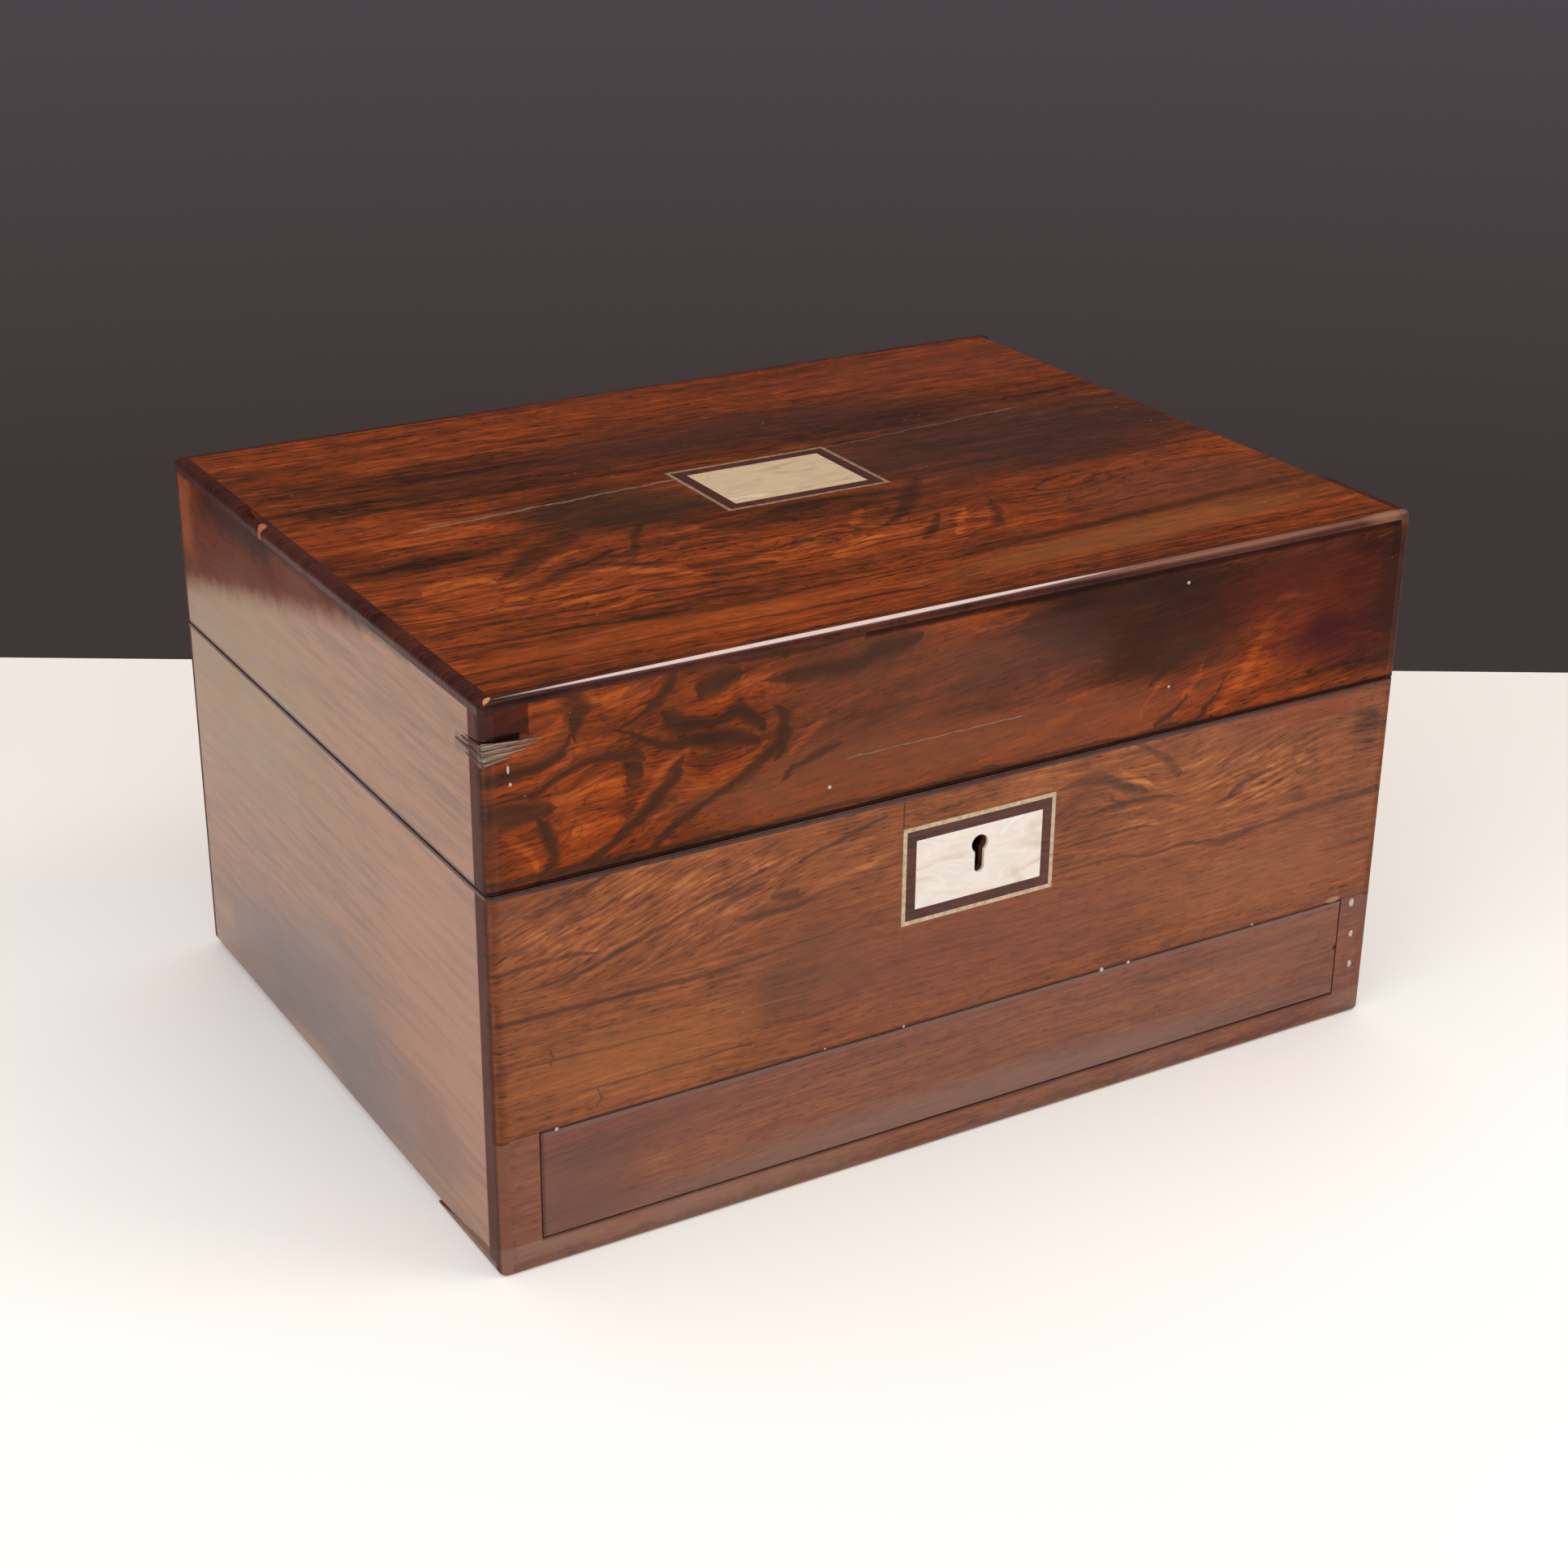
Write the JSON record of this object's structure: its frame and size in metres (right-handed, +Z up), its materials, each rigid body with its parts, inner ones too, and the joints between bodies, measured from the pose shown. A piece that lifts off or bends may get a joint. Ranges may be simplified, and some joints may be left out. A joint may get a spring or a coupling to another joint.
{
  "type": "writing box",
  "caption": "Antique rosewood-veneered writing box with a back-hinged lid, inlaid plates, a lift-out tray with ink bottles and a drawer held by a brass pin.",
  "frame": {"origin": "centre of the underside, on the surface it stands on", "axes": "+X to the right along the front, +Y to the hinged back, +Z up"},
  "size_m": [0.305, 0.2305, 0.17],
  "materials": {
    "rosewood": "French polished",
    "carcase_mahogany": "sanded, waxed",
    "stringing": "polished flush",
    "mother_of_pearl": "polished shell",
    "brass": "aged, lacquer worn",
    "spring_steel": "blued, dull",
    "lining_paper": "matte",
    "lid_leather": "skiver on thin board, gilt line",
    "bottle_glass": "cut and polished"
  },
  "bodies": {
    "case": {"base_front_veneer": "rosewood", "base_side_veneers": "rosewood", "front_stiles": "rosewood", "front_rail": "rosewood", "base_corner_strips": "rosewood", "foot_strips": "rosewood", "left_foot_strip": "rosewood", "base_rim_facing": "rosewood", "escutcheon_band": "rosewood", "base_side_panels": "carcase_mahogany", "base_back_panel": "carcase_mahogany", "base_front_panel": "carcase_mahogany", "bottom_board": "carcase_mahogany", "dust_board": "carcase_mahogany", "drawer_guides": "carcase_mahogany", "tray_ledges": "carcase_mahogany", "escutcheon_stringing": "stringing", "escutcheon_plate": "mother_of_pearl", "lock_case": "brass", "lock_cap": "brass", "case_screws": "brass", "base_hinge_leaves": "brass", "lock_spring": "spring_steel", "hinge_pins": "spring_steel", "drawer_spring": "spring_steel", "compartment_lining": "lining_paper"},
    "lock_bolt": {"lock_bolt": "brass"},
    "drawer_pin": {"drawer_pin": "brass"},
    "drawer": {"drawer_front_veneer": "rosewood", "drawer_front": "carcase_mahogany", "drawer_sides": "carcase_mahogany", "drawer_bottom": "carcase_mahogany", "drawer_back": "carcase_mahogany", "drawer_lining": "lining_paper"},
    "tray": {"tray_frame": "carcase_mahogany", "tray_bottom": "carcase_mahogany", "tray_partitions": "carcase_mahogany", "pen_trough": "rosewood"},
    "left_ink_bottle": {"left_ink_bottle": "bottle_glass"},
    "right_ink_bottle": {"right_ink_bottle": "bottle_glass"},
    "left_ink_cap": {"left_ink_cap": "brass"},
    "right_ink_cap": {"right_ink_cap": "brass"},
    "lid": {"lid_top_veneer": "rosewood", "lid_front_veneer": "rosewood", "lid_side_veneers": "rosewood", "lid_corner_strips": "rosewood", "lid_edgings": "rosewood", "lid_right_edging": "rosewood", "lid_plate_band": "rosewood", "lid_side_panels": "carcase_mahogany", "lid_front_panel": "carcase_mahogany", "lid_back_panel": "carcase_mahogany", "lid_top_board": "carcase_mahogany", "lid_plate_stringing": "stringing", "lid_plate": "mother_of_pearl", "link_plate": "brass", "lid_hinge_leaves": "brass", "lid_screws": "brass", "lid_lining": "lid_leather"}
  },
  "joints": [
    {"name": "lid_hinge", "type": "hinge", "parent": "case", "child": "lid", "pos_m": [0, 0.1135, 0.1163], "axis": [-1, 0, 0], "range_deg": [0, 100]},
    {"name": "drawer_slide", "type": "slide", "parent": "case", "child": "drawer", "axis": [0, -1, 0], "range_m": [0, 0.165]},
    {"name": "drawer_pin_slide", "type": "slide", "parent": "case", "child": "drawer_pin", "axis": [0, 0, 1], "range_m": [-0.007, 0]},
    {"name": "lock_bolt_slide", "type": "slide", "parent": "case", "child": "lock_bolt", "axis": [1, 0, 0], "range_m": [0, 0.005]},
    {"name": "tray_lift", "type": "slide", "parent": "case", "child": "tray", "axis": [0, 0, 1], "range_m": [0, 0.042]},
    {"name": "left_bottle_lift", "type": "slide", "parent": "tray", "child": "left_ink_bottle", "axis": [0, 0, 1], "range_m": [0, 0.04]},
    {"name": "right_bottle_lift", "type": "slide", "parent": "tray", "child": "right_ink_bottle", "axis": [0, 0, 1], "range_m": [0, 0.04]},
    {"name": "left_cap_lift", "type": "slide", "parent": "left_ink_bottle", "child": "left_ink_cap", "axis": [0, 0, 1], "range_m": [0, 0.012]},
    {"name": "right_cap_lift", "type": "slide", "parent": "right_ink_bottle", "child": "right_ink_cap", "axis": [0, 0, 1], "range_m": [0, 0.012]}
  ]
}
